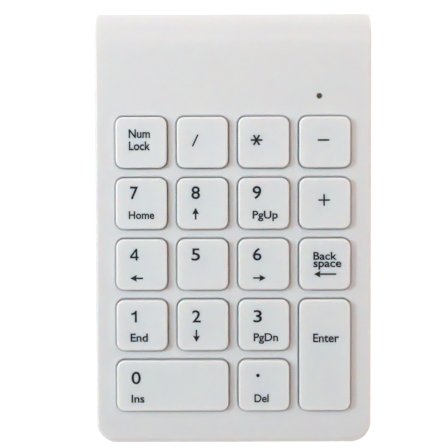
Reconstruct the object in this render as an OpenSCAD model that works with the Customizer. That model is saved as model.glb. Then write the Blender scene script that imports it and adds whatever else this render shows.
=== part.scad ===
// Wireless numeric keypad: a wedge-shaped two-shell case, eighteen plunger keys on silicone domes,
// a printed membrane switch, and one AAA cell in a tunnel across the rear.
// Origin: middle of the footprint, on the table. +X is right, +Y is rear, +Z is up.

/* [Case] */
// Width of the case, left to right
case_w = 86.4; // [86.2:0.1:88]
// Depth of the case, front to rear
case_d = 135.2; // [134.8:0.1:136.4]
// Height of the deck above the table, at the middle of the key block
deck_h = 12.2; // [12.1:0.1:12.6]
// Forward slope of the deck, in degrees
deck_tilt = 3.5; // [3.3:0.1:3.7]
// Wall thickness of both shells
wall = 1.8; // [1.7:0.05:1.9]
// Radius of the front corners, seen from above
front_corner_r = 6.4; // [5:0.1:7]
// Radius that rolls the deck over into the rear wall
rear_roll_r = 10; // [9.6:0.1:10.4]
// Height of the joint line between the two shells
split_z = 4.2; // [4.1:0.05:4.4]

/* [Keys] */
// Distance from key centre to key centre
pitch = 19.05; // [19:0.01:19.1]
// Width of a single keycap
cap_w = 15.9; // [15.7:0.05:16]
// Gap all round between a keycap and its window
cap_gap = 0.5; // [0.4:0.05:0.6]
// Height of a keycap's top above the deck
cap_top = 2.4; // [2.3:0.05:2.6]
// Travel of a key
key_travel = 2; // [1.8:0.05:2]

/* [Battery] */
// Diameter of the AAA cell
cell_dia = 10.5; // [10.3:0.1:10.5]
// Length of the AAA cell with its terminal
cell_len = 44.5; // [44:0.1:44.6]

/* [Hidden] */
block_y = -11.2;            // middle of the key block
half_d = case_d / 2;
arc_steps = 6;              // straight pieces in a small quarter turn
fit = 0.05;                 // gap between faces that only rest on each other
through = 1;                // how far a cutter runs past a face

// The key block: name, column, row, width and depth in units.
KEYS = [
    ["num_lock", 0, 0, 1, 1], ["divide", 1, 0, 1, 1], ["multiply", 2, 0, 1, 1], ["minus", 3, 0, 1, 1],
    ["7", 0, 1, 1, 1], ["8", 1, 1, 1, 1], ["9", 2, 1, 1, 1], ["plus", 3, 1, 1, 1],
    ["4", 0, 2, 1, 1], ["5", 1, 2, 1, 1], ["6", 2, 2, 1, 1], ["backspace", 3, 2, 1, 1],
    ["1", 0, 3, 1, 1], ["2", 1, 3, 1, 1], ["3", 2, 3, 1, 1], ["enter", 3, 3, 1, 2],
    ["0", 0, 4, 2, 1], ["decimal", 2, 4, 1, 1]
];

// Levels below the deck surface, measured square to it.
cap_roof = 1.2;             // thickness of a keycap's top
cap_wall = 1.1;
cap_r = 2.5;
cap_skirt = 2;              // how far the skirt hangs below the deck at rest
window_r = cap_r + cap_gap;
plate_top = -4.2;
plate_t = 0.8;
sheet_t = 0.12;             // one layer of the membrane switch
steel_t = 0.5;
sheet_top = plate_top - plate_t;
steel_top = sheet_top - 3 * sheet_t;
steel_bottom = steel_top - steel_t;
board_t = 1;
board_top = steel_top;
board_bottom = board_top - board_t;

// Collar that guides a keycap, and what slides on it.
collar_out = 11.4;
collar_wall = 0.9;
collar_in = collar_out - 2 * collar_wall;
slide_gap = 0.15;
collar_top = cap_top - cap_roof - key_travel - slide_gap;
rib_in = collar_out / 2 + slide_gap;
cap_in = cap_w / 2 - cap_wall;
barb_h = 0.5;
barb_top = -cap_skirt + barb_h;
dome_h = 3.2;
dome_top = sheet_top + dome_h;
dome_r = 4.4;

// Stabiliser wire of a double key.
wire_r = 0.45;
wire_arm = 7;
wire_v = 6.25;              // its fixed axis, beside the collar
wire_w = -3.6;
wire_end_w = -1;            // its moving ends at rest
wire_half = 13;
wire_rest = asin((wire_end_w - wire_w) / wire_arm);
wire_end_v = wire_v - wire_arm * cos(wire_rest);
hook_u = 9.5;

// Fasteners.
pilot_r = 0.8;
shank_r = 0.75;
plate_screws_uv = [[-19.05, 28.575], [19.05, 28.575], [0, 9.525], [-19.05, -9.525], [19.05, -9.525],
    [0, -28.575]];
board_screws_uv = [[-25, 50], [-1, 50]];
case_screws_xy = [[-30, -62.2], [30, -62.2], [-38, -1.6], [38, -1.6], [-37.5, 46.5], [37.5, 46.5]];
case_boss_r = 2.1;
screw_reach = 7.2;          // top of a case screw

// Bottom shell.
foot_h = 0.8;               // how far the feet hold the case off the table
floor_t = 1.5;
floor_top = foot_h + floor_t;
lip_gap = 0.1;
lip_t = 0.8;
feet_xy = [[-34, -54], [34, -54], [-36.4, 59.6], [36.4, 59.6]];
foot_size = [9, 5];
foot_sink = 0.4;

// Battery tunnel and its door.
cell_r = cell_dia / 2;
cell_y = 56;
cell_z = 7.9;
tunnel_in = 5.4;
tunnel_t = 0.8;
bay_half = 25;              // half the length inside the tunnel
cell_nub = 0.8;
cell_end = 24.6;            // where the positive terminal touches its contact
door_half = 29;
door_front = 47.6;
door_gap = 0.15;
rail = 1;                   // how far the door's tongues reach into the floor
frame_z = floor_top + 0.15;
frame_t = 1;

// Light pipe and switch.
led_u = 27;
led_v = 52.4;
led_hole_r = 0.85;
switch_u = -18;
switch_v = 53;
switch_travel = 2;
switch_y = block_y + switch_v * cos(deck_tilt) + 0.6;

// ---- outlines ----

function arc(cx, cy, r, from, to, steps = arc_steps) =
    [for (i = [0:steps]) let (a = from + (to - from) * i / steps) [cx + r * cos(a), cy + r * sin(a)]];

function round_rect(w, d, r) = concat(
    arc(w / 2 - r, d / 2 - r, r, 0, 90), arc(r - w / 2, d / 2 - r, r, 90, 180),
    arc(r - w / 2, r - d / 2, r, 180, 270), arc(w / 2 - r, r - d / 2, r, 270, 360));

// The case from above, drawn in by some amount: tight corners at the rear, wide ones at the front.
function case_outline(inset = 0) =
    let (hw = case_w / 2 - inset, hd = half_d - inset,
         rr = max(1 - inset, 0.2), fr = front_corner_r - inset)
    concat(arc(hw - rr, hd - rr, rr, 0, 90), arc(rr - hw, hd - rr, rr, 90, 180),
           arc(fr - hw, fr - hd, fr, 180, 270), arc(hw - fr, fr - hd, fr, 270, 360));

function deck_z(y) = deck_h + (y - block_y) * tan(deck_tilt);

// The case from the side, drawn in by some amount and open below low_z.
front_r = 2;
function side_outline(inset, low_z) =
    let (rear_y = half_d - rear_roll_r, front_y = front_r - half_d, lean = 90 + deck_tilt,
         rear_z = deck_z(rear_y) - rear_roll_r / cos(deck_tilt),
         front_z = deck_z(front_y) - front_r / cos(deck_tilt))
    concat([[half_d - inset, low_z]], arc(rear_y, rear_z, rear_roll_r - inset, 0, lean, 16),
           arc(front_y, front_z, front_r - inset, lean, 180), [[inset - half_d, low_z]]);

// ---- placing ----

module on_deck() translate([0, block_y, deck_h]) rotate([deck_tilt, 0, 0]) children();

function key_u(k) = (k[1] + (k[3] - 1) / 2 - 1.5) * pitch;
function key_v(k) = (2 - k[2] - (k[4] - 1) / 2) * pitch;
function key_named(n) = [for (k = KEYS) if (k[0] == n) k][0];
function is_double(k) = k[3] + k[4] > 2;

module at_key(k) on_deck() translate([key_u(k), key_v(k), 0]) rotate([0, 0, k[4] > 1 ? 90 : 0]) children();

// An upright slab with a given outline, from one height to another.
module slab(points, low, high) translate([0, 0, low]) linear_extrude(high - low) polygon(points);

module block(low, high) translate(low) cube(high - low);

module post(x, y, r, low, high) translate([x, y, low]) cylinder(h = high - low, r = r, $fn = 32);

module along_y_profile(points) rotate([90, 0, 90]) linear_extrude(case_w, center = true) polygon(points);

module case_block(inset, low_z) intersection() {
    slab(case_outline(inset), low_z, 30);
    along_y_profile(side_outline(inset, low_z));
}

// ---- top shell ----

module window(k)
    slab(round_rect(cap_w + 2 * cap_gap + (is_double(k) ? pitch : 0), cap_w + 2 * cap_gap, window_r),
         -wall - through, cap_top);

module top_cover() color([0.93, 0.93, 0.93]) difference() {
    union() {
        difference() {
            case_block(0, split_z);
            case_block(wall, split_z - through);
            for (k = KEYS) at_key(k) window(k);
            on_deck() post(led_u, led_v, led_hole_r, -wall - through, through);
        }
        on_deck() {
            for (p = plate_screws_uv) post(p[0], p[1], 1.9, plate_top, -wall + 0.2);
            for (p = board_screws_uv) post(p[0], p[1], 1.9, clamp_top, -wall + 0.2);
        }
        for (p = case_screws_xy) post(p[0], p[1], case_boss_r, boss_bottom, deck_z(p[1]) - wall + 0.1);
    }
    on_deck() {
        for (p = plate_screws_uv) post(p[0], p[1], pilot_r, plate_top - through, -1.2);
        for (p = board_screws_uv) post(p[0], p[1], pilot_r, clamp_top - through, -1.6);
    }
    for (p = case_screws_xy) post(p[0], p[1], pilot_r, boss_bottom - through, screw_reach + 0.3);
}

module light_pipe() color([0.45, 0.27, 0.14]) on_deck() {
    post(led_u, led_v, led_hole_r - 0.07, -wall, -0.35);
    post(led_u, led_v, 1.6, -wall - 0.8, -wall);
    post(led_u, led_v, 0.6, board_top + 0.75, -wall - 0.8);
}

// ---- keys ----

// A retaining barb on the inside of a skirt, at the given side.
module barb(side) mirror([side < 0 ? 1 : 0, 0, 0])
    block([collar_out / 2 - 0.5, -1, -cap_skirt], [rib_in + 0.2, 1, barb_top]);

// A rib that keeps a skirt square on its collar, from the skirt's inner face to the collar.
module guide_rib(v) block([rib_in, v - 0.5, -cap_skirt], [cap_in + 0.3, v + 0.5, cap_top - cap_roof + 0.1]);

module cap_shell(w) difference() {
    slab(round_rect(w, cap_w, cap_r), -cap_skirt, cap_top);
    slab(round_rect(w - 2 * cap_wall, cap_w - 2 * cap_wall, cap_r - cap_wall),
         -cap_skirt - through, cap_top - cap_roof);
}

module cap_boss() post(0, 0, 1.8, dome_top + fit, cap_top - cap_roof + 0.1);

module single_cap() {
    cap_shell(cap_w);
    cap_boss();
    for (turn = [0:90:270]) rotate([0, 0, turn]) for (v = [-3.4, 3.4]) guide_rib(v);
    for (side = [-1, 1]) {
        barb(side);
        mirror([side < 0 ? 1 : 0, 0, 0])
            block([rib_in - 0.1, -1, -cap_skirt], [cap_in + 0.3, 1, barb_top]);
    }
}

// A double cap has cross walls round its collar, and two slotted clips for the stabiliser's ends.
clip_u = wire_half + 0.75;
clip_t = 1;
slot_v = [wire_end_v - 1.05, wire_end_v + 0.55];
module double_cap() difference() {
    union() {
        cap_shell(cap_w + pitch);
        cap_boss();
        for (side = [0, 1]) mirror([side, 0, 0]) {
            block([rib_in, -cap_in - 0.3, -cap_skirt], [rib_in + 1, 5.2, cap_top - cap_roof + 0.1]);
            barb(1);
            block([clip_u, slot_v[0] - 0.9, -cap_skirt],
                  [clip_u + clip_t, slot_v[1] + 0.9, cap_top - cap_roof + 0.1]);
        }
        for (v = [-3.4, 3.4]) rotate([0, 0, -90]) guide_rib(v);
    }
    for (side = [0, 1]) mirror([side, 0, 0]) {
        block([clip_u - through, slot_v[0], wire_end_w - 0.55],
              [clip_u + clip_t + 0.5, slot_v[1], wire_end_w + 0.55]);
        block([hook_u - 1.1, cap_in - through, -cap_skirt - through], [hook_u + 1.1, cap_in + 0.45, -0.5]);
    }
}

module keycap(k) color([0.94, 0.94, 0.94]) at_key(k) if (is_double(k)) double_cap(); else single_cap();

// A silicone dome: a flange on the membrane, a thin cone that buckles, and a solid button.
module dome(k) color([0.85, 0.88, 0.9, 0.8]) at_key(k) translate([0, 0, sheet_top])
    rotate_extrude($fn = 36) polygon([
        [3.3, 0], [dome_r, 0], [dome_r, 0.5], [3.9, 0.5], [2.5, 2.5], [2.2, dome_h], [0, dome_h],
        [0, 1.8], [1.5, 1.8], [1.9, 2.2], [3.3, 0.4]
    ]);

// ---- stabiliser wires ----

module rod(from, to, r) {
    d = to - from;
    translate(from) rotate([0, acos(d[2] / norm(d)), atan2(d[1], d[0])])
        cylinder(h = norm(d), r = r, $fn = 24);
}

module stabiliser(k) color([0.75, 0.76, 0.78]) at_key(k) {
    rod([-wire_half, wire_v, wire_w], [wire_half, wire_v, wire_w], wire_r);
    for (side = [-1, 1]) {
        elbow = [side * wire_half, wire_v, wire_w];
        hand = [side * wire_half, wire_end_v, wire_end_w];
        rod(elbow, hand, wire_r);
        rod(hand, hand + [side * 2.1, 0, 0], wire_r);
        for (p = [elbow, hand]) translate(p) sphere(r = wire_r + 0.04, $fn = 24);
    }
}

// ---- guide plate, membrane and steel ----

sheet_uv = [[-35.4, -47.4], [35.4, 46.6]];

module sheet(low, high, inset = 0)
    block([sheet_uv[0][0] + inset, sheet_uv[0][1] + inset, low],
          [sheet_uv[1][0] - inset, sheet_uv[1][1] - inset, high]);

module screw_holes(points, r, low, high) for (p = points) post(p[0], p[1], r, low - through, high + through);

module collar_walls() difference() {
    slab(round_rect(collar_out, collar_out, 1), plate_top - 0.1, collar_top);
    for (side = [0, 1]) mirror([side, 0, 0])
        block([collar_in / 2 - through, -1.3, plate_top], [collar_out / 2 + through, 1.3, barb_top + 0.1]);
}

module wire_hook() difference() {
    block([hook_u - 0.8, 5.5, plate_top - 0.1], [hook_u + 0.8, 7.1, wire_w + 0.9]);
    rod([hook_u - 2, wire_v, wire_w], [hook_u + 2, wire_v, wire_w], wire_r + fit);
}

module guide_plate() color([0.9, 0.9, 0.88]) {
    difference() {
        union() {
            on_deck() sheet(sheet_top, plate_top);
            for (k = KEYS) at_key(k) collar_walls();
        }
        for (k = KEYS) at_key(k)
            slab(round_rect(collar_in, collar_in, 0.6), sheet_top - through, 0);
        on_deck() screw_holes(plate_screws_uv, 1, sheet_top, plate_top);
    }
    for (k = KEYS) if (is_double(k)) at_key(k) for (side = [0, 1]) mirror([side, 0, 0]) wire_hook();
}

module membrane_layer(level) {
    high = sheet_top - level * sheet_t;
    difference() {
        sheet(high - sheet_t, high, 0.4);
        screw_holes(plate_screws_uv, 1.1, high - sheet_t, high);
    }
}

module membrane_top() color([0.86, 0.9, 0.86, 0.9]) on_deck() membrane_layer(0);

module membrane_spacer() color([0.9, 0.92, 0.94, 0.9]) on_deck() difference() {
    membrane_layer(1);
    for (k = KEYS) post(key_u(k), key_v(k), 3, steel_top - through, sheet_top);
}

tail_u = [-22, -4];
module membrane_bottom() color([0.86, 0.9, 0.86, 0.9]) on_deck() {
    membrane_layer(2);
    block([tail_u[0], sheet_uv[1][1] - 0.5, steel_top], [tail_u[1], 51.4, steel_top + sheet_t]);
}

module back_plate() color([0.7, 0.71, 0.73]) on_deck() difference() {
    sheet(steel_bottom, steel_top);
    screw_holes(plate_screws_uv, 0.95, steel_bottom, steel_top);
}

// ---- circuit board ----

clamp_top = steel_top + sheet_t + 1.6;
contact_x = 24.8;

module circuit_board() color([0.1, 0.4, 0.22]) on_deck() difference() {
    block([-32, 47.2, board_bottom], [32, 58.2, board_top]);
    screw_holes(board_screws_uv, 0.95, board_bottom, board_top);
    for (side = [-1, 1]) block([side * contact_x - 0.5, 56.2, board_bottom - through],
                               [side * contact_x + 0.5, 60, board_top + through]);
}

module membrane_clamp() color([0.9, 0.9, 0.88]) on_deck() difference() {
    block([-27.5, 48.2, steel_top + sheet_t], [1.5, 51.8, clamp_top]);
    screw_holes(board_screws_uv, 0.95, steel_top, clamp_top);
}

module controller_chip() color([0.12, 0.12, 0.13]) on_deck() {
    block([6, 52.3, board_top + 0.1], [16, 56.2, board_top + 1.6]);
    for (i = [0:7], side = [0, 1]) {
        pin_u = 6.35 + i * 1.27;
        block([pin_u, side ? 56.2 : 51.3, board_top], [pin_u + 0.4, side ? 57.2 : 52.3, board_top + 0.7]);
    }
}

module crystal() color([0.8, 0.8, 0.78]) on_deck()
    slab([for (p = round_rect(5, 3.2, 0.5)) p + [20.5, 54.6]], board_top, board_top + 1.1);

module indicator_led() color([0.9, 0.86, 0.6]) on_deck()
    block([led_u - 0.8, led_v - 0.4, board_top], [led_u + 0.8, led_v + 0.4, board_top + 0.7]);

// ---- power switch ----

module power_switch_body() color([0.72, 0.73, 0.74]) on_deck()
    block([switch_u - 4.3, switch_v - 1.8, board_bottom - 3.4],
          [switch_u + 4.3, switch_v + 1.8, board_bottom]);

// The lever under the switch body, the shoe that rides inside the floor, and the grip in the slot.
// At rest the switch is off, with the grip at the left end of its slot.
shoe_z = floor_top + 0.1;
grip_x = switch_u - switch_travel / 2;
module power_switch_knob() color([0.1, 0.1, 0.1]) {
    on_deck() block([grip_x - 0.7, switch_v - 0.7, board_bottom - 3.4 - 2.8],
                    [grip_x + 0.7, switch_v + 0.7, board_bottom - 3.4 - fit]);
    block([grip_x - 4.2, switch_y - 1.8, shoe_z], [grip_x + 4.2, switch_y + 1.8, shoe_z + 1.2]);
    block([grip_x - 1.2, switch_y - 0.8, foot_h + 0.05], [grip_x + 1.2, switch_y + 0.8, shoe_z + 0.1]);
}

// ---- battery ----

module across(x_low, x_high, r) translate([x_low, cell_y, cell_z]) rotate([0, 90, 0])
    cylinder(h = x_high - x_low, r = r, $fn = 48);

module battery_cell() color([0.2, 0.45, 0.5]) {
    across(cell_end - cell_len, cell_end - cell_nub, cell_r);
    across(cell_end - cell_nub - 0.1, cell_end, 1.9);
}

// A flat terminal on the end wall of the tunnel, with a tab that reaches the circuit board.
tab_z = [8.9, 10.9];
module terminal(x) {
    block([x - 0.15, cell_y - 3.8, 3.8], [x + 0.15, cell_y + 3.8, 11.2]);
    block([x - 0.15, 46.2, tab_z[0]], [x + 0.15, cell_y - 3.7, tab_z[1]]);
}

module contact_plate() color([0.8, 0.78, 0.7]) terminal(contact_x);

// A conical coil as a tube swept along a helix that narrows towards the cell.
coil_turns = 4;
coil_steps = 14;
coil_sides = 6;
coil_wire_r = 0.3;
coil_length = cell_end - cell_len + contact_x - 0.15 - 2 * coil_wire_r;
function coil_point(t) = [coil_wire_r + coil_length * t, (3.8 - 1.6 * t) * cos(360 * coil_turns * t),
    (3.8 - 1.6 * t) * sin(360 * coil_turns * t)];
function coil_ring(t) =
    let (a = 360 * coil_turns * t, c = coil_point(t))
    [for (s = [0:coil_sides - 1]) let (b = 360 * s / coil_sides)
        c + coil_wire_r * [sin(b), cos(b) * cos(a), cos(b) * sin(a)]];
module coil() {
    rings = coil_turns * coil_steps;
    points = [for (i = [0:rings]) each coil_ring(i / rings)];
    sides = [for (i = [0:rings - 1], s = [0:coil_sides - 1])
        let (n = (s + 1) % coil_sides, a = i * coil_sides, b = a + coil_sides)
        each [[a + s, a + n, b + s], [a + n, b + n, b + s]]];
    ends = [[for (s = [coil_sides - 1:-1:0]) s], [for (s = [0:coil_sides - 1]) rings * coil_sides + s]];
    polyhedron(points, concat(sides, ends));
}

module contact_spring() color([0.8, 0.78, 0.7]) {
    terminal(-contact_x);
    translate([0.15 - contact_x - 0.1, cell_y, cell_z]) coil();
}

// ---- bottom shell ----

boss_bottom = floor_top + 1.1;

module floor_slab() slab(case_outline(), foot_h, floor_top);

module rim() {
    difference() {
        slab(case_outline(), foot_h, split_z - 0.1);
        slab(case_outline(wall), foot_h - through, split_z + through);
    }
    difference() {
        slab(case_outline(wall + lip_gap), floor_top - 0.2, split_z + 1.2);
        slab(case_outline(wall + lip_gap + lip_t), foot_h, split_z + 1.2 + through);
    }
    // a low shoulder ties the inner lip to the rim
    difference() {
        slab(case_outline(wall - 0.2), floor_top - 0.2, split_z - 0.6);
        slab(case_outline(wall + lip_gap + lip_t - 0.2), foot_h, split_z + through);
    }
}

// The tunnel over the cell: a half tube on straight walls, standing on a frame above the door.
module tunnel() difference() {
    union() {
        across(-bay_half - 1, bay_half + 1, tunnel_in + tunnel_t);
        block([-bay_half - 1, cell_y - tunnel_in - tunnel_t, frame_z],
              [bay_half + 1, cell_y + tunnel_in + tunnel_t, cell_z]);
        block([-door_half - 2.6, door_front - 1, frame_z],
              [door_half + 2.6, half_d - wall - lip_gap - 0.3, frame_z + frame_t]);
    }
    across(-bay_half, bay_half, tunnel_in);
    block([-bay_half, cell_y - tunnel_in, 0], [bay_half, cell_y + tunnel_in, cell_z]);
    block([-bay_half - 2, cell_y - tunnel_in - 2, 0], [bay_half + 2, cell_y + tunnel_in + 2, frame_z]);
    for (side = [-1, 1]) block([side * contact_x - 0.25, cell_y - tunnel_in - 2, tab_z[0] - 0.1],
                               [side * contact_x + 0.25, cell_y - 4, tab_z[1] + 0.1]);
}

module door_opening() {
    block([-door_half - door_gap, door_front - door_gap, 0],
          [door_half + door_gap, half_d + through, frame_z]);
    block([-door_half - rail - door_gap, half_d - wall - lip_gap + 0.05, 0],
          [door_half + rail + door_gap, half_d + through, split_z + through]);
    block([-door_half - rail - door_gap, door_front - door_gap, foot_h + 0.6],
          [door_half + rail + door_gap, half_d + through, frame_z]);
}

module bottom_cover() color([0.92, 0.92, 0.92]) difference() {
    union() {
        difference() {
            union() {
                floor_slab();
                rim();
            }
            door_opening();
        }
        tunnel();
        block([-door_half - 2.6, door_front - 1, floor_top - 0.2],
              [-door_half - rail - door_gap, half_d - 2.5, frame_z + 0.1]);
        block([door_half + rail + door_gap, door_front - 1, floor_top - 0.2],
              [door_half + 2.6, half_d - 2.5, frame_z + 0.1]);
        block([-door_half - 2.6, door_front - 1, floor_top - 0.2],
              [door_half + 2.6, door_front - door_gap, frame_z + 0.1]);
        for (p = case_screws_xy) post(p[0], p[1], 2.6, floor_top - 0.2, boss_bottom - 0.1);
    }
    for (p = case_screws_xy) {
        post(p[0], p[1], 1, foot_h - through, boss_bottom + through);
        post(p[0], p[1], 1.9, foot_h - through, head_top);
    }
    for (p = feet_xy) slab([for (q = round_rect(foot_size[0] + 0.2, foot_size[1] + 0.2, 1.6)) q + p],
                           foot_h - through, foot_h + foot_sink);
    block([switch_u - switch_travel / 2 - 1.35, switch_y - 0.95, 0],
          [switch_u + switch_travel / 2 + 1.35, switch_y + 0.95, floor_top + through]);
    block([switch_u - 4, switch_y - 2, 0], [switch_u + 4, switch_y + 2, foot_h + 0.6]);
}

// The door slides out to the rear on two tongues, and takes the lower part of the rear wall with it.
module battery_door() color([0.92, 0.92, 0.92]) difference() {
    union() {
        block([-door_half, door_front, foot_h], [door_half, half_d - wall, floor_top]);
        block([-door_half - rail, half_d - wall, foot_h], [door_half + rail, half_d, split_z - 0.1]);
        block([-door_half - rail, door_front + 0.4, foot_h + 0.7],
              [door_half + rail, half_d - wall + 0.1, floor_top]);
    }
    for (i = [0:3]) block([-6, door_front + 3 + i * 1.6, 0],
                          [6, door_front + 3.7 + i * 1.6, foot_h + 0.35]);
}

module rubber_feet() color([0.25, 0.25, 0.26])
    for (p = feet_xy)
        slab([for (q = round_rect(foot_size[0], foot_size[1], 1.5)) q + p], 0, foot_h + foot_sink);

// ---- screws ----

head_top = foot_h + 1.1;
module screw(head_r, head_h, reach) {
    difference() {
        translate([0, 0, -head_h]) cylinder(h = head_h, r = head_r, $fn = 32);
        for (turn = [0, 90]) rotate([0, 0, turn])
            block([-head_r * 0.6, -0.2, -head_h - through], [head_r * 0.6, 0.2, -head_h * 0.5]);
    }
    translate([0, 0, -0.1]) cylinder(h = reach + 0.1, r = shank_r, $fn = 32);
}

module case_screws() color([0.6, 0.61, 0.63])
    for (p = case_screws_xy) translate([p[0], p[1], head_top]) screw(1.7, 0.9, screw_reach - head_top);

module plate_screws() color([0.6, 0.61, 0.63]) on_deck() {
    for (p = plate_screws_uv) translate([p[0], p[1], steel_bottom]) screw(1.5, 0.8, 4.1);
    for (p = board_screws_uv) translate([p[0], p[1], board_bottom]) screw(1.5, 0.8, 4.1);
}

// ---- assembly ----

top_cover();
bottom_cover();
battery_door();
light_pipe();
guide_plate();
membrane_top();
membrane_spacer();
membrane_bottom();
back_plate();
circuit_board();
controller_chip();
crystal();
indicator_led();
membrane_clamp();
power_switch_body();
power_switch_knob();
battery_cell();
contact_spring();
contact_plate();
rubber_feet();
case_screws();
plate_screws();
stabiliser(key_named("0"));  // stabiliser_0
stabiliser(key_named("enter"));  // stabiliser_enter
for (k = KEYS) {
    keycap(k);
    dome(k);
}
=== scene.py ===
import math

import bmesh
import bpy
from mathutils import Matrix, Vector
from mathutils.geometry import delaunay_2d_cdt


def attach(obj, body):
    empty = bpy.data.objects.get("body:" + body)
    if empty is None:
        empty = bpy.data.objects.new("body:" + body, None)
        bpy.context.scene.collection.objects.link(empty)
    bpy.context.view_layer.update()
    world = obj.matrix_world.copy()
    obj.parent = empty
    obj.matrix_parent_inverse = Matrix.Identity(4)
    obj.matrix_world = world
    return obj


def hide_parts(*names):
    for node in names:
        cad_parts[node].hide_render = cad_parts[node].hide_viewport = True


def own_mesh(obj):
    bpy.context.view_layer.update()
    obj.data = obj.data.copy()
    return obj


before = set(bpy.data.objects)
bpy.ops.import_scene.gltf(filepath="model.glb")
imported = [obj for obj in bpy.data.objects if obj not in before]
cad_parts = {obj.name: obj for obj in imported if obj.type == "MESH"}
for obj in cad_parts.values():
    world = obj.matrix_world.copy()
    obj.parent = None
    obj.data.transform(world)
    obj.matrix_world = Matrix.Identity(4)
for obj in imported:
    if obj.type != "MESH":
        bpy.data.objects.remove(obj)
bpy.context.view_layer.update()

# Lengths are in millimetres here, and MM turns them into the frame's metres.
MM = 0.001
TILT = math.radians(3.5)
BLOCK_Y = -11.2
DECK_H = 12.2
HALF_W = 43.2
HALF_D = 67.6
SPLIT_Z = 4.2
WALL = 1.8
REAR_R = 10.0
CORNER_R = 6.4
PITCH = 19.05
CAP = 15.9
CAP_R = 2.5
CAP_TOP = 2.4  # heights on a key are from the deck
CAP_ROOF = 1.2
CAP_SKIRT = 2.0
CAP_WALL = 1.1
CAP_GAP = 0.5
DISH = 0.16

# Strengths of the sky, the three lamps and the lit table.
SKY = 0.83
OVERHEAD = 2.68
LEFT = 5.0
RIGHT = 0.8
GLOW = 0.86

# name: column, row, width and depth in units
KEYS = {
    "num_lock": (0, 0, 1, 1), "divide": (1, 0, 1, 1), "multiply": (2, 0, 1, 1), "minus": (3, 0, 1, 1),
    "7": (0, 1, 1, 1), "8": (1, 1, 1, 1), "9": (2, 1, 1, 1), "plus": (3, 1, 1, 1),
    "4": (0, 2, 1, 1), "5": (1, 2, 1, 1), "6": (2, 2, 1, 1), "backspace": (3, 2, 1, 1),
    "1": (0, 3, 1, 1), "2": (1, 3, 1, 1), "3": (2, 3, 1, 1), "enter": (3, 3, 1, 2),
    "0": (0, 4, 2, 1), "decimal": (2, 4, 1, 1),
}

DECK = Matrix.Translation((0, BLOCK_Y, DECK_H)) @ Matrix.Rotation(TILT, 4, "X")


def key_centre(name):
    column, row, wide, deep = KEYS[name]
    return (column + (wide - 1) / 2 - 1.5) * PITCH, (2 - row - (deep - 1) / 2) * PITCH


def key_size(name):
    _, _, wide, deep = KEYS[name]
    return CAP + (wide - 1) * PITCH, CAP + (deep - 1) * PITCH


def key_place(name):
    return DECK @ Matrix.Translation((*key_centre(name), 0))


def deck_z(y, below=0.0):
    """Height of the plane that lies a given distance below the deck."""
    return DECK_H + (y - BLOCK_Y) * math.tan(TILT) - below / math.cos(TILT)


# ---- materials ----

def material(name, colour, roughness, metallic=0.0, grain=0.0, grain_scale=6000.0, mottle=0.03,
             mottle_scale=60.0, alpha=1.0, coat=0.0, transmission=0.0, ior=1.5, sheen=0.0, depth=0.0):
    """A Principled surface with a slight mottle in its colour and roughness, and a fine grain."""
    made = bpy.data.materials.new(name)
    made.use_nodes = True
    nodes, links = made.node_tree.nodes, made.node_tree.links
    shader = nodes["Principled BSDF"]
    shader.inputs["Metallic"].default_value = metallic
    shader.inputs["IOR"].default_value = ior
    shader.inputs["Coat Weight"].default_value = coat
    shader.inputs["Transmission Weight"].default_value = transmission
    shader.inputs["Sheen Weight"].default_value = sheen
    shader.inputs["Alpha"].default_value = alpha
    if depth:
        shader.inputs["Subsurface Weight"].default_value = 0.9
        shader.inputs["Subsurface Radius"].default_value = (1.0, 0.6, 0.38)
        shader.inputs["Subsurface Scale"].default_value = depth * MM
    place = nodes.new("ShaderNodeTexCoord")
    broad = nodes.new("ShaderNodeTexNoise")
    broad.inputs["Scale"].default_value = mottle_scale
    broad.inputs["Detail"].default_value = 4
    links.new(place.outputs["Object"], broad.inputs["Vector"])
    ramp = nodes.new("ShaderNodeValToRGB")
    ramp.color_ramp.elements[0].position = 0.3
    ramp.color_ramp.elements[1].position = 0.7
    ramp.color_ramp.elements[0].color = [c * (1 - mottle) for c in colour] + [1]
    ramp.color_ramp.elements[1].color = [min(c * (1 + mottle), 1) for c in colour] + [1]
    links.new(broad.outputs["Fac"], ramp.inputs["Fac"])
    links.new(ramp.outputs["Color"], shader.inputs["Base Color"])
    spread = nodes.new("ShaderNodeMapRange")
    spread.inputs["To Min"].default_value = max(roughness - 0.05, 0.02)
    spread.inputs["To Max"].default_value = min(roughness + 0.05, 1)
    links.new(broad.outputs["Fac"], spread.inputs["Value"])
    links.new(spread.outputs["Result"], shader.inputs["Roughness"])
    if grain:
        fine = nodes.new("ShaderNodeTexNoise")
        fine.inputs["Scale"].default_value = grain_scale
        fine.inputs["Detail"].default_value = 2
        links.new(place.outputs["Object"], fine.inputs["Vector"])
        bump = nodes.new("ShaderNodeBump")
        bump.inputs["Strength"].default_value = grain
        bump.inputs["Distance"].default_value = 0.00002
        links.new(fine.outputs["Fac"], bump.inputs["Height"])
        links.new(bump.outputs["Normal"], shader.inputs["Normal"])
    return made


def nodes_of(made):
    return made.node_tree.nodes, made.node_tree.links, made.node_tree.nodes["Principled BSDF"]


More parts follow.
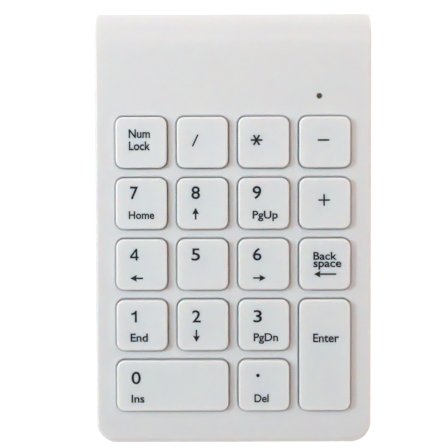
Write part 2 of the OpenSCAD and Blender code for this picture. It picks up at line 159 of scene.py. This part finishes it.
SHELL = material("white_shell", (0.80, 0.79, 0.785), 0.36, grain=0.15, grain_scale=5200, mottle=0.006,
                 depth=2.4)
CAPS = material("white_cap", (0.865, 0.83, 0.815), 0.32, grain=0.1, grain_scale=6500, mottle=0.006, depth=2.4)
NATURAL = material("natural_plastic", (0.84, 0.81, 0.76), 0.5, grain=0.2, mottle=0.02)
INK = material("printed_ink", (0.006, 0.006, 0.007), 0.75, grain=0.3, grain_scale=9000, mottle=0.15)
SMOKED = material("smoked_plastic", (0.13, 0.075, 0.035), 0.12, mottle=0.1, coat=0.4)
SILICONE = material("silicone", (0.80, 0.83, 0.85), 0.38, mottle=0.02, transmission=0.35, ior=1.41)
STEEL = material("plain_steel", (0.55, 0.56, 0.58), 0.34, metallic=1.0, grain=0.3, grain_scale=2500,
                 mottle=0.06, mottle_scale=200)
BOARD = material("board_green", (0.012, 0.13, 0.055), 0.32, grain=0.1, mottle=0.1, coat=0.5)
EPOXY = material("black_epoxy", (0.02, 0.02, 0.022), 0.55, grain=0.4, grain_scale=4000, mottle=0.1)
CAN = material("can_metal", (0.68, 0.68, 0.66), 0.28, metallic=1.0, grain=0.1, mottle=0.04, mottle_scale=300)
LED = material("led_body", (0.80, 0.68, 0.25), 0.25, mottle=0.1, mottle_scale=1500, coat=0.6)
BLACK = material("black_plastic", (0.018, 0.018, 0.019), 0.45, grain=0.4, mottle=0.1)
SPRING = material("spring_steel", (0.66, 0.64, 0.58), 0.25, metallic=1.0, grain=0.1, mottle=0.05,
                  mottle_scale=400)
RUBBER = material("rubber_grey", (0.12, 0.12, 0.125), 0.8, grain=0.6, grain_scale=3500, mottle=0.12,
                  mottle_scale=300, sheen=0.2)
SCREWS = material("screw_steel", (0.48, 0.49, 0.52), 0.3, metallic=1.0, grain=0.2, mottle=0.08,
                  mottle_scale=800)


def printed_sheet(name, base, ink, roughness):
    """A clear sheet with printed conductor lines that run along it."""
    made = material(name, base, roughness, mottle=0.02, coat=0.2)
    nodes, links, shader = nodes_of(made)
    place = nodes.new("ShaderNodeTexCoord")
    lines = nodes.new("ShaderNodeTexBrick")
    lines.inputs["Scale"].default_value = 1
    lines.inputs["Brick Width"].default_value = 0.019
    lines.inputs["Row Height"].default_value = 0.0024
    lines.inputs["Mortar Size"].default_value = 0.00035
    lines.inputs["Color1"].default_value = (*base, 1)
    lines.inputs["Color2"].default_value = (*base, 1)
    lines.inputs["Mortar"].default_value = (*ink, 1)
    links.new(place.outputs["Object"], lines.inputs["Vector"])
    links.new(lines.outputs["Color"], shader.inputs["Base Color"])
    return made


POLYESTER = printed_sheet("polyester", (0.72, 0.77, 0.74), (0.42, 0.44, 0.45), 0.3)


def cell_sleeve():
    """A printed sleeve: a dark end by the spring, a wide teal band, and bright metal at both ends."""
    made = material("cell_sleeve", (0.1, 0.25, 0.3), 0.3, metallic=0.6, mottle=0.04, coat=0.6)
    nodes, links, shader = nodes_of(made)
    place = nodes.new("ShaderNodeTexCoord")
    split = nodes.new("ShaderNodeSeparateXYZ")
    along = nodes.new("ShaderNodeMapRange")
    along.inputs["From Min"].default_value = -19.9 * MM
    along.inputs["From Max"].default_value = 24.6 * MM
    bands = nodes.new("ShaderNodeValToRGB")
    bands.color_ramp.interpolation = "CONSTANT"
    stops = [(0.0, (0.7, 0.7, 0.68)), (0.015, (0.02, 0.03, 0.035)), (0.3, (0.55, 0.42, 0.2)),
             (0.325, (0.06, 0.22, 0.28)), (0.955, (0.7, 0.7, 0.68))]
    while len(bands.color_ramp.elements) < len(stops):
        bands.color_ramp.elements.new(0.5)
    for element, (position, colour) in zip(bands.color_ramp.elements, stops):
        element.position = position
        element.color = (*colour, 1)
    links.new(place.outputs["Object"], split.inputs["Vector"])
    links.new(split.outputs["X"], along.inputs["Value"])
    links.new(along.outputs["Result"], bands.inputs["Fac"])
    links.new(bands.outputs["Color"], shader.inputs["Base Color"])
    return made


SLEEVE = cell_sleeve()


# ---- meshes ----

def inside(point, loop):
    """Whether a flat point lies inside a flat loop."""
    found = False
    x, y = point
    for (x0, y0), (x1, y1) in zip(loop, loop[1:] + loop[:1]):
        if (y0 > y) != (y1 > y) and x < (x1 - x0) * (y - y0) / (y1 - y0) + x0:
            found = not found
    return found


def rounded(width, depth, radius, steps=8):
    """A rectangle with round corners, counter-clockwise from its right side's rear end."""
    points = []
    for sx, sy, start in ((1, 1, 0), (-1, 1, 90), (-1, -1, 180), (1, -1, 270)):
        for i in range(steps + 1):
            a = math.radians(start + 90 * i / steps)
            points.append((sx * (width / 2 - radius) + radius * math.cos(a),
                           sy * (depth / 2 - radius) + radius * math.sin(a)))
    return points


def circle(radius, steps=32, centre=(0, 0)):
    turns = [2 * math.pi * i / steps for i in range(steps)]
    return [(centre[0] + radius * math.cos(a), centre[1] + radius * math.sin(a)) for a in turns]


class Shape:
    """A mesh in the making."""

    def __init__(self):
        self.points, self.faces = [], []

    def ring(self, points, place=None):
        start = len(self.points)
        for p in points:
            p = Vector(p)
            self.points.append(place @ p if place else p)
        return list(range(start, len(self.points)))

    def level(self, outline, z, place=None):
        return self.ring([(x, y, z) for x, y in outline], place)

    def bridge(self, a, b, closed=True):
        for i in range(len(a) if closed else len(a) - 1):
            j = (i + 1) % len(a)
            self.faces.append((a[i], a[j], b[j], b[i]))

    def cap(self, ring):
        self.faces.append(tuple(ring))

    def fan(self, ring, centre):
        middle = self.ring([centre])[0]
        for i in range(len(ring)):
            self.faces.append((ring[i], ring[(i + 1) % len(ring)], middle))

    def fill(self, outer, holes=(), axes=(0, 1)):
        """Triangles between one loop and the loops inside it, all in one plane."""
        loops = [outer, *holes]
        ids = [i for loop in loops for i in loop]
        flats = [[(self.points[i][axes[0]], self.points[i][axes[1]]) for i in loop] for loop in loops]
        flat = [Vector(p) for loop in flats for p in loop]
        edges, start = [], 0
        for loop in loops:
            edges += [(start + k, start + (k + 1) % len(loop)) for k in range(len(loop))]
            start += len(loop)
        found, _, triangles, source, _, _ = delaunay_2d_cdt(flat, edges, [], 0, 1e-6)
        for triangle in triangles:
            middle = sum((found[v] for v in triangle), Vector((0, 0))) / 3
            if inside(middle, flats[0]) and not any(inside(middle, loop) for loop in flats[1:]):
                self.faces.append(tuple(ids[source[v][0]] for v in triangle))

    def prism(self, outline, low, high, place=None, holes=()):
        """A closed solid between two levels, with straight holes through it."""
        bottoms = [self.level(o, low) for o in (outline, *holes)]
        tops = [self.level(o, high) for o in (outline, *holes)]
        for a, b in zip(bottoms, tops):
            self.bridge(a, b)
        for rings in (bottoms, tops):
            self.fill(rings[0], rings[1:])
        if place:
            for ring in bottoms + tops:
                for i in ring:
                    self.points[i] = place @ self.points[i]

    def revolve(self, profile, steps=40):
        """A closed solid turned about Z from a profile that starts and ends on the axis."""
        rings = [self.level(circle(r, steps), z) for r, z in profile[1:-1]]
        for a, b in zip(rings, rings[1:]):
            self.bridge(a, b)
        self.fan(rings[0], (0, 0, profile[0][1]))
        self.fan(rings[-1], (0, 0, profile[-1][1]))


def finish_mesh(obj, sharp=35):
    for polygon in obj.data.polygons:
        polygon.use_smooth = True
    obj.data.set_sharp_from_angle(angle=math.radians(sharp))
    weighted = obj.modifiers.new("weighted", "WEIGHTED_NORMAL")
    weighted.keep_sharp = True
    weighted.weight = 60


def make(shape, name, body, paint, place=None, replaces=(), sharp=35):
    """An object from a shape, riding on a body."""
    mesh = bpy.data.meshes.new(name)
    place = place or Matrix.Identity(4)
    mesh.from_pydata([(place @ p) * MM for p in shape.points], [], shape.faces)
    bm = bmesh.new()
    bm.from_mesh(mesh)
    bmesh.ops.recalc_face_normals(bm, faces=bm.faces)
    bm.to_mesh(mesh)
    bm.free()
    mesh.materials.append(paint)
    obj = bpy.data.objects.new(name, mesh)
    bpy.context.scene.collection.objects.link(obj)
    finish_mesh(obj, sharp)
    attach(obj, body)
    if replaces:
        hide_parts(*replaces)
    return obj


# ---- top cover ----

LED_UV = (27.0, 52.4)
LED_R = 0.85
LED_RIM = 0.3
RIM = 0.35
LIP = 0.28  # a dust lip on each window wall, and how far down it starts
LIP_DEPTH = 0.6
DECK_REAR = 56.0  # where the deck meets the rear roll
BORE = 0.8
PLATE_SCREWS = [(-PITCH, 1.5 * PITCH), (PITCH, 1.5 * PITCH), (0, PITCH / 2),
                (-PITCH, -PITCH / 2), (PITCH, -PITCH / 2), (0, -1.5 * PITCH)]
BOARD_SCREWS = [(-25, 50), (-1, 50)]
CASE_SCREWS = [(-30, -62.2), (30, -62.2), (-38, -1.6), (38, -1.6), (-37.5, 46.5), (37.5, 46.5)]


def skin(shape, inset, side_r, front_r, holes):
    """One face of the shell: side walls, deck and rear roll, with round edges. Returns its lowest loop."""
    half_w, half_d = HALF_W - inset, HALF_D - inset
    roll_r, corner_r = REAR_R - inset, CORNER_R - inset
    roll_y = HALF_D - REAR_R
    roll_z = deck_z(roll_y, REAR_R)
    fillet = [math.radians(15 * k) for k in range(7)]
    lean = 90 + math.degrees(TILT)

    def across(a, r):
        return half_w - r + r * math.cos(a)

    left = []
    for z in (SPLIT_Z, (SPLIT_Z + roll_z) / 2):
        left.append([(-across(a, side_r), half_d - side_r + side_r * math.sin(a), z) for a in fillet])
    rolled = 20
    for i in range(rolled + 1):
        phi = math.radians(lean * i / rolled)
        left.append([(-across(a, side_r), roll_y + (roll_r - side_r + side_r * math.sin(a)) * math.cos(phi),
                      roll_z + (roll_r - side_r + side_r * math.sin(a)) * math.sin(phi)) for a in fillet])
    deck_start = len(left) - 1
    corner_y = corner_r - half_d
    runs = 14
    for i in range(1, runs):
        y = DECK_REAR + (corner_y - DECK_REAR) * i / runs
        left.append([(-across(a, side_r), y, deck_z(y, inset) - side_r * (1 - math.sin(a))) for a in fillet])
    corner_start = len(left)
    turns = 18
    for i in range(turns + 1):
        t = i / turns
        r = side_r + (front_r - side_r) * t * t * (3 - 2 * t)
        turn = math.radians(180 + 90 * t)
        column = []
        for a in fillet:
            reach = corner_r - r + r * math.cos(a)
            x = corner_r - half_w + reach * math.cos(turn)
            y = corner_y + reach * math.sin(turn)
            column.append((x, y, deck_z(y, inset) - r * (1 - math.sin(a))))
        left.append(column)
    right = [[(-x, y, z) for x, y, z in column] for column in reversed(left)]
    columns = [shape.ring(c) for c in left + right]
    for a, b in zip(columns, columns[1:]):
        shape.bridge(a, b, closed=False)
    total = len(columns)
    for i in range(deck_start):
        a, b = columns[i][-1], columns[i + 1][-1]
        c, d = columns[total - 2 - i][-1], columns[total - 1 - i][-1]
        shape.faces.append((a, b, c, d))
    shape.fill([c[-1] for c in columns[deck_start:total - deck_start]], holes)
    feet = []
    for i in range(corner_start, total - corner_start):
        x, y, _ = shape.points[columns[i][0]]
        feet += shape.ring([(x, y, SPLIT_Z)])
    shape.bridge([columns[i][0] for i in range(corner_start, total - corner_start)], feet, closed=False)
    shape.fill([columns[i][0] for i in range(corner_start + 1)] + [feet[0]], axes=(1, 2))
    shape.fill([columns[total - 1 - i][0] for i in range(corner_start + 1)] + [feet[-1]], axes=(1, 2))
    return feet + columns[-1] + list(reversed(columns[0]))


def top_cover():
    shape = Shape()
    outer_holes, inner_holes = [], []
    quarter = [math.radians(90 - 22.5 * k) for k in range(5)]

    def window(name):
        """The outline of a key's window, grown by a given amount."""
        width, depth = key_size(name)
        return lambda grow: rounded(width + 2 * (CAP_GAP + grow), depth + 2 * (CAP_GAP + grow),
                                    CAP_R + CAP_GAP + grow)

    openings = [(key_place(name), window(name), RIM) for name in KEYS]
    openings.append((DECK @ Matrix.Translation((*LED_UV, 0)), lambda grow: circle(LED_R + grow), LED_RIM))
    for place, outline, rim in openings:
        rings = [shape.level(outline(rim - rim * math.cos(a)), rim * math.sin(a) - rim, place)
                 for a in quarter]
        if rim == RIM:
            rings.append(shape.level(outline(0), -LIP_DEPTH, place))
            rings.append(shape.level(outline(-LIP), -LIP_DEPTH - 0.06, place))
            rings.append(shape.level(outline(-LIP), -WALL, place))
        else:
            rings.append(shape.level(outline(0), -WALL, place))
        for a, b in zip(rings, rings[1:]):
            shape.bridge(a, b)
        outer_holes.append(rings[0])
        inner_holes.append(rings[-1])
    outer = skin(shape, 0.0, 1.0, 1.9, outer_holes)
    inner = skin(shape, WALL, 0.4, 0.8, inner_holes)
    shape.fill(outer, [inner])

    def boss(place, radius, low, high, deep):
        """A post on the shell's underside with a blind hole in its end."""
        steps = [(BORE, deep), (BORE, low), (radius - 0.15, low), (radius, low + 0.15), (radius, high)]
        rings = [shape.level(circle(r, 20), z, place) for r, z in steps]
        for a, b in zip(rings, rings[1:]):
            shape.bridge(a, b)
        shape.cap(rings[0])
        shape.cap(rings[-1])

    for u, v in PLATE_SCREWS:
        boss(DECK @ Matrix.Translation((u, v, 0)), 1.9, -4.2, -WALL + 0.2, -1.75)
    for u, v in BOARD_SCREWS:
        boss(DECK @ Matrix.Translation((u, v, 0)), 1.9, -3.64, -WALL + 0.2, -1.75)
    for x, y in CASE_SCREWS:
        top = deck_z(y, WALL)
        boss(Matrix.Translation((x, y, 0)), 2.1, 3.4, top + 0.1, min(7.5, top - 0.02))
    return make(shape, "top_shell", "case", SHELL, replaces=["top_cover"])


# ---- keycaps ----

EDGE_R = 0.55
HOOK_RELIEF = 0.45  # a double cap's long wall is thinner on the side where the plate's hooks stand


def dish(x, y, width, depth):
    """How far the top of a cap lies below its rim."""
    s = max(abs(x) / (width / 2 - EDGE_R), abs(y) / (depth / 2 - EDGE_R))
    return DISH * (1 - min(s, 1) ** 2) ** 2


def cap_body(shape, width, depth):
    rings = []

    def ring(inset, z, relief=0.0):
        outline = rounded(width - 2 * inset, depth - 2 * inset, max(CAP_R - inset, 0.4))
        if width > depth:
            outline = [(x, y + relief if y > 0 else y) for x, y in outline]
        if depth > width:
            outline = [(x - relief if x < 0 else x, y) for x, y in outline]
        rings.append(shape.level(outline, z))

    ring(CAP_WALL, CAP_TOP - CAP_ROOF, HOOK_RELIEF)
    ring(CAP_WALL, -CAP_SKIRT + 0.08, HOOK_RELIEF)
    ring(CAP_WALL - 0.08, -CAP_SKIRT, HOOK_RELIEF)
    ring(0.12, -CAP_SKIRT)
    ring(0, -CAP_SKIRT + 0.12)
    steps = 7
    for k in range(steps + 1):
        a = math.radians(90 * k / steps)
        ring(EDGE_R - EDGE_R * math.cos(a), CAP_TOP - EDGE_R + EDGE_R * math.sin(a))
    outline = rounded(width - 2 * EDGE_R, depth - 2 * EDGE_R, CAP_R - EDGE_R)
    for s in (0.97, 0.92, 0.85, 0.75, 0.6, 0.42, 0.22):
        rings.append(shape.level([(x * s, y * s) for x, y in outline], CAP_TOP - DISH * (1 - s * s) ** 2))
    for a, b in zip(rings, rings[1:]):
        shape.bridge(a, b)
    shape.cap(rings[0])
    shape.fan(rings[-1], (0, 0, CAP_TOP - DISH))


def cap_inside(shape, double):
    roof = CAP_TOP - CAP_ROOF + 0.08
    reach = CAP / 2 - CAP_WALL + 0.25
    shape.revolve([(0, -1.75), (1.6, -1.75), (1.8, -1.55), (1.8, roof), (0, roof)], 24)

    def rib(turn, v):
        corners = [(5.85, v - 0.5), (reach, v - 0.5), (reach, v + 0.5), (5.85, v + 0.5)]
        shape.prism(corners, -CAP_SKIRT + 0.02, roof, Matrix.Rotation(math.radians(turn), 4, "Z"))

    def barb(side, far):
        corners = [(5.2, -1), (far, -1), (far, 1), (5.2, 1)]
        shape.prism(corners, -CAP_SKIRT + 0.01, -CAP_SKIRT + 0.5, Matrix.Diagonal((side, 1, 1, 1)))

    if not double:
        for turn in (0, 90, 180, 270):
            for v in (-3.4, 3.4):
                rib(turn, v)
        barb(1, reach)
        barb(-1, reach)
        return
    for v in (-3.4, 3.4):
        rib(-90, v)
    upright = Matrix(((0, 0, 1, 0), (1, 0, 0, 0), (0, 1, 0, 0), (0, 0, 0, 1)))
    for side in (-1, 1):
        flip = Matrix.Diagonal((side, 1, 1, 1))
        barb(side, 6.05)
        shape.prism([(5.85, -reach), (6.85, -reach), (6.85, 5.2), (5.85, 5.2)], -CAP_SKIRT + 0.02, roof, flip)
        clip = [(-2.2, -CAP_SKIRT), (1.2, -CAP_SKIRT), (1.2, roof), (-2.2, roof)]
        slot = [(-1.3, -1.55), (0.3, -1.55), (0.3, -0.45), (-1.3, -0.45)]
        shape.prism(clip, 13.75, 14.75, flip @ upright, holes=[slot])


# ---- legends ----

INK_LIFT = 0.012  # the middle of the ink above the cap, and half its thickness
INK_HALF = 0.008
FONT_CAP = 0.682  # the built-in type's capital height


class Legend:
    """Thin printed marks laid on the top of one cap."""

    def __init__(self, name):
        self.name, self.shape = name, Shape()
        self.width, self.depth = key_size(name)

    def lay(self, x, y, side):
        return (x, y, CAP_TOP - dish(x, y, self.width, self.depth) + INK_LIFT + side * INK_HALF)

    def words(self, text, left, right, base, cap, weight=0.019):
        curve = bpy.data.curves.new("words", "FONT")
        curve.body = text
        curve.resolution_u = 5
        curve.extrude = 0.01
        curve.offset = weight
        holder = bpy.data.objects.new("words", curve)
        bpy.context.scene.collection.objects.link(holder)
        bpy.context.view_layer.update()
        mesh = holder.to_mesh()
        xs = [v.co.x for v in mesh.vertices]
        low, scale = min(xs), (right - left) / (max(xs) - min(xs))
        start = len(self.shape.points)
        for v in mesh.vertices:
            x, y = left + (v.co.x - low) * scale, base + v.co.y * cap / FONT_CAP
            self.shape.points.append(Vector(self.lay(x, y, 1 if v.co.z > 0 else -1)))
        for p in mesh.polygons:
            self.shape.faces.append(tuple(start + i for i in p.vertices))
        holder.to_mesh_clear()
        bpy.data.objects.remove(holder)
        bpy.data.curves.remove(curve)

    def patch(self, outline):
        bottom = self.shape.ring([self.lay(x, y, -1) for x, y in outline])
        top = self.shape.ring([self.lay(x, y, 1) for x, y in outline])
        self.shape.bridge(bottom, top)
        self.shape.fill(bottom)
        self.shape.fill(top)

    def stroke(self, x0, y0, x1, y1, thick):
        d = Vector((x1 - x0, y1 - y0))
        n = Vector((-d.y, d.x)).normalized() * thick / 2
        self.patch([(x0 + n.x, y0 + n.y), (x0 - n.x, y0 - n.y), (x1 - n.x, y1 - n.y), (x1 + n.x, y1 + n.y)])

    def arrow(self, x0, y0, x1, y1, head=1.85, half=1.08, thick=0.5):
        """A shaft from its tail to a filled head."""
        d = Vector((x1 - x0, y1 - y0)).normalized()
        n = Vector((-d.y, d.x))
        tip, neck, tail = Vector((x1, y1)), Vector((x1, y1)) - d * head, Vector((x0, y0))
        barb_back = neck - d * 0.22
        points = [tail - n * thick / 2, neck - n * thick / 2, barb_back - n * half, tip, barb_back + n * half,
                  neck + n * thick / 2, tail + n * thick / 2]
        self.patch([tuple(p) for p in points])

    def done(self):
        obj = make(self.shape, "legend_" + self.name, "key_" + self.name, INK,
                   key_place(self.name))
        weld = bmesh.new()
        weld.from_mesh(obj.data)
        bmesh.ops.remove_doubles(weld, verts=weld.verts, dist=1e-7)
        bmesh.ops.recalc_face_normals(weld, faces=weld.faces)
        weld.to_mesh(obj.data)
        weld.free()


# left, right, base and capital height of each digit
DIGITS = {
    "7": (-3.46, -0.95, 1.5, 3.8), "8": (-3.45, -0.78, 1.5, 3.8), "9": (-3.47, -0.75, 1.5, 3.8),
    "5": (-3.5, -0.85, 1.32, 3.7), "6": (-3.4, -0.72, 1.32, 3.7),
    "2": (-3.35, -0.7, 0.95, 3.7), "3": (-3.28, -0.6, 0.95, 3.7),
    "0": (-12.9, -10.0, 0.65, 3.75),
}
# the same for each word
WORDS = {
    "num_lock": [("Num", -3.8, 2.8, 1.45, 2.6), ("Lock", -3.75, 2.85, -2.35, 2.6)],
    "7": [("Home", -3.9, 4.0, -4.7, 2.35)], "9": [("PgUp", -3.45, 4.36, -4.7, 2.35)],
    "backspace": [("Back", -3.59, 3.75, 1.44, 2.35), ("space", -3.59, 5.15, -0.85, 2.45)],
    "1": [("End", -3.6, 1.8, -5.05, 2.45)], "3": [("PgDn", -3.2, 4.4, -5.0, 2.4)],
    "enter": [("Enter", -3.68, 4.45, 4.15, 2.6)],
    "0": [("Ins", -12.95, -8.9, -5.2, 2.4)], "decimal": [("Del", -3.0, 1.46, -5.2, 2.4)],
}
# tail and tip
ARROWS = {
    "8": (-2.14, -5.0, -2.14, -1.3), "4": (0.42, -4.25, -3.59, -4.25), "6": (-3.35, -4.25, 0.65, -4.25),
    "2": (-2.05, -1.4, -2.05, -5.3), "backspace": (3.56, -3.1, -3.4, -3.1),
}
# both ends of each stroke, and its thickness
STROKES = {
    "4": [(-1.60, 1.32, -1.60, 5.02, 0.56), (-3.59, 2.30, -0.92, 2.30, 0.52),
          (-3.42, 2.42, -1.62, 4.84, 0.54)],
    "divide": [(-3.05, -1.25, -1.35, 2.4, 0.46)],
    "minus": [(-2.25, 0.6, 1.38, 0.6, 0.52)],
    "plus": [(-2.05, 0.98, 1.55, 0.98, 0.50), (-0.25, -0.82, -0.25, 2.8, 0.50)],
}
ONE = [(-1.62, 0.95), (-1.62, 4.65), (-2.06, 4.65), (-2.35, 4.20), (-2.85, 3.93), (-3.35, 3.86),
       (-3.35, 3.30), (-2.75, 3.33), (-2.22, 3.55), (-2.22, 0.95)]
STAR = (-2.2, 0.66)
STAR_ARM = 1.8


def legends():
    for name in KEYS:
        legend = Legend(name)
        if name in DIGITS:
            legend.words(name, *DIGITS[name], weight=0.01)
        for words in WORDS.get(name, []):
            legend.words(*words)
        if name in ARROWS:
            legend.arrow(*ARROWS[name])
        for stroke in STROKES.get(name, []):
            legend.stroke(*stroke)
        if name == "1":
            legend.patch(ONE)
        if name == "multiply":
            for turn in (0, 60, 120):
                dx, dy = STAR_ARM * math.cos(math.radians(turn)), STAR_ARM * math.sin(math.radians(turn))
                legend.stroke(STAR[0] - dx, STAR[1] - dy, STAR[0] + dx, STAR[1] + dy, 0.56)
        if name == "decimal":
            legend.patch(circle(0.56, 20, (-1.9, 3.2)))
        legend.done()


def keys():
    for name, (_, _, wide, deep) in KEYS.items():
        shape = Shape()
        width, depth = key_size(name)
        cap_body(shape, width, depth)
        inner = Shape()
        cap_inside(inner, wide + deep > 2)
        turn = Matrix.Rotation(math.pi / 2 if deep > 1 else 0, 4, "Z")
        start = len(shape.points)
        shape.points += [turn @ p for p in inner.points]
        shape.faces += [tuple(start + i for i in face) for face in inner.faces]
        make(shape, "keycap_" + name, "key_" + name, CAPS, key_place(name),
             replaces=["key_" + name])


# ---- domes ----

DOME_SEAT = -5.0
DOME_H = 3.2
# radius and height, from the inside of the button, down the cone to the flange, and up again outside
DOME = [(0, 1.8), (1.35, 1.8), (1.55, 1.85), (1.95, 2.15), (2.6, 1.3), (3.3, 0.35), (3.35, 0.0), (4.3, 0.0),
        (4.4, 0.12), (4.4, 0.4), (4.3, 0.5), (3.95, 0.5), (3.75, 0.62), (2.62, 2.3), (2.45, 2.6),
        (2.25, 2.72), (2.22, 3.1), (2.1, DOME_H), (1.6, DOME_H), (0, DOME_H - 0.05)]


def domes():
    for name in KEYS:
        shape = Shape()
        shape.revolve(DOME, 36)
        seat = key_place(name) @ Matrix.Translation((0, 0, DOME_SEAT))
        dome = make(shape, "silicone_dome_" + name, "case", SILICONE, seat,
                    replaces=["dome_" + name])
        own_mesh(dome)


# ---- the rest ----

def repaint():
    paints = {
        SHELL: ["bottom_cover", "battery_door"],
        SMOKED: ["light_pipe"],
        NATURAL: ["guide_plate", "membrane_clamp"],
        POLYESTER: ["membrane_top", "membrane_spacer", "membrane_bottom"],
        STEEL: ["back_plate"],
        BOARD: ["circuit_board"],
        EPOXY: ["controller_chip"],
        CAN: ["crystal", "power_switch_body"],
        LED: ["indicator_led"],
        BLACK: ["power_switch_knob"],
        SLEEVE: ["battery_cell"],
        SPRING: ["contact_spring", "contact_plate", "stabiliser_0", "stabiliser_enter"],
        RUBBER: ["rubber_feet"],
        SCREWS: ["case_screws", "plate_screws"],
    }
    for paint, nodes in paints.items():
        for node in nodes:
            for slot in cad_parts[node].material_slots:
                slot.material = paint


def bevel_node(node, width, segments=2, angle=40):
    """Breaks the edges of a CAD node as moulding or rolling would."""
    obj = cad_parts[node]
    bevel = obj.modifiers.new("edges", "BEVEL")
    bevel.width = width * MM
    bevel.segments = segments
    bevel.limit_method = "ANGLE"
    bevel.angle_limit = math.radians(angle)
    bevel.use_clamp_overlap = True
    bevel.harden_normals = True


def soften():
    """Breaks the outside edges of the CAD nodes that show, by less than half a wall."""
    widths = {"bottom_cover": 0.3, "battery_door": 0.2, "rubber_feet": 0.35, "power_switch_knob": 0.12,
              "case_screws": 0.12}
    for node, width in widths.items():
        bevel_node(node, width)


# ---- the picture ----

def floor_and_light():
    floor = bpy.data.objects.new("floor", bpy.data.meshes.new("floor"))
    floor.data.from_pydata([(-4, -4, 0), (4, -4, 0), (4, 4, 0), (-4, 4, 0)], [], [(0, 1, 2, 3)])
    bpy.context.scene.collection.objects.link(floor)
    paper = material("paper", (0.28, 0.28, 0.28), 0.9, mottle=0.004, mottle_scale=4)
    shader = paper.node_tree.nodes["Principled BSDF"]
    shader.inputs["Emission Color"].default_value = (1, 1, 1, 1)
    shader.inputs["Emission Strength"].default_value = GLOW
    floor.data.materials.append(paper)

    world = bpy.data.worlds.new("studio")
    world.use_nodes = True
    nodes, links = world.node_tree.nodes, world.node_tree.links
    place = nodes.new("ShaderNodeTexCoord")
    split = nodes.new("ShaderNodeSeparateXYZ")
    sky = nodes.new("ShaderNodeValToRGB")
    spread = nodes.new("ShaderNodeMapRange")
    spread.inputs["From Min"].default_value = -1
    stops = [(0.0, 0.85), (0.49, 0.95), (0.5, 1.3), (0.6, 1.2), (0.71, 0.42), (1.0, 0.38)]
    while len(sky.color_ramp.elements) < len(stops):
        sky.color_ramp.elements.new(0.5)
    for element, (position, level) in zip(sky.color_ramp.elements, stops):
        element.position = position
        element.color = (level / 1.3, level / 1.3 * 0.865, level / 1.3 * 0.82, 1)
    links.new(place.outputs["Generated"], split.inputs["Vector"])
    links.new(split.outputs["Z"], spread.inputs["Value"])
    links.new(spread.outputs["Result"], sky.inputs["Fac"])
    links.new(sky.outputs["Color"], nodes["Background"].inputs["Color"])
    nodes["Background"].inputs["Strength"].default_value = SKY
    bpy.context.scene.world = world

    def panel(name, place, aim, size, power, colour):
        lamp = bpy.data.lights.new(name, "AREA")
        lamp.shape = "RECTANGLE"
        lamp.size, lamp.size_y = size
        lamp.energy = power
        lamp.color = colour
        obj = bpy.data.objects.new(name, lamp)
        obj.location = place
        obj.rotation_euler = (Vector(aim) - Vector(place)).to_track_quat("-Z", "Y").to_euler()
        bpy.context.scene.collection.objects.link(obj)

    panel("overhead_softbox", (0.05, 0.34, 0.68), (0.05, 0.34, 0), (0.9, 0.6), OVERHEAD, (1.0, 0.86, 0.81))
    panel("left_softbox", (-0.62, 0.10, 0.68), (0, 0.02, 0), (0.28, 0.28), LEFT, (0.62, 0.83, 0.94))
    panel("right_wall", (0.9, 0.0, 0.22), (0, 0, 0.02), (0.9, 0.3), RIGHT, (1.0, 0.90, 0.84))


def camera():
    lens = bpy.data.cameras.new("camera")
    lens.sensor_width = 36
    lens.lens = 137.97
    lens.clip_start = 0.01
    eye = bpy.data.objects.new("camera", lens)
    eye.location = (-3.14 * MM, 1.98 * MM, 550 * MM)
    eye.rotation_euler = [math.radians(a) for a in (-0.073, -0.031, -0.172)]
    bpy.context.scene.collection.objects.link(eye)
    bpy.context.scene.camera = eye


top_cover()
keys()
legends()
domes()
repaint()
soften()
floor_and_light()
camera()
bpy.context.scene.view_settings.view_transform = "Standard"
